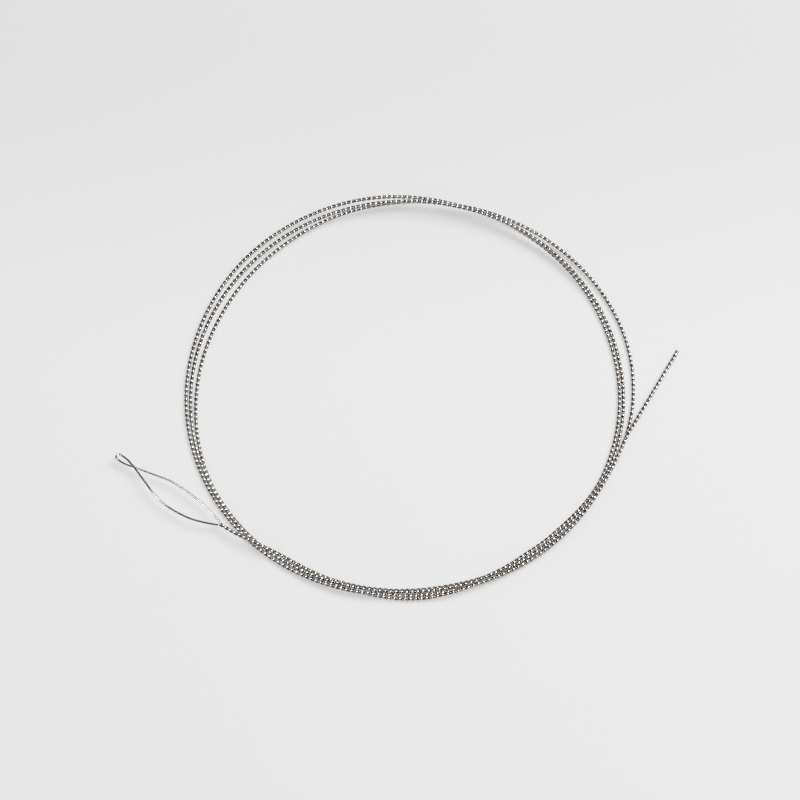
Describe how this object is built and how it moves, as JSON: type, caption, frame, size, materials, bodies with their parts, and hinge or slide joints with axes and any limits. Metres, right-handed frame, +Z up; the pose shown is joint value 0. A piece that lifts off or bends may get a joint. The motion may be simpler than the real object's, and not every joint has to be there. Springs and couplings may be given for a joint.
{
  "type": "threading wire",
  "caption": "Springy twisted steel wire with a narrow eyelet and a flexible threading loop at its tip, coiled flat; it draws a cord through a tube, a channel or a hem.",
  "frame": {"origin": "on the surface that the coil lies on, under the middle of the outline", "axes": "+X along the longest extent, from the threading loop's side towards the free end's side; +Y across the coil, away from the loop; +Z up from the surface, through the coil's eye"},
  "size_m": [0.1708, 0.1322, 0.0059],
  "materials": {
    "spring_steel": "bright drawn spring steel, twisted in a pair"
  },
  "bodies": {
    "root": {"wire": "spring_steel"}
  },
  "joints": []
}
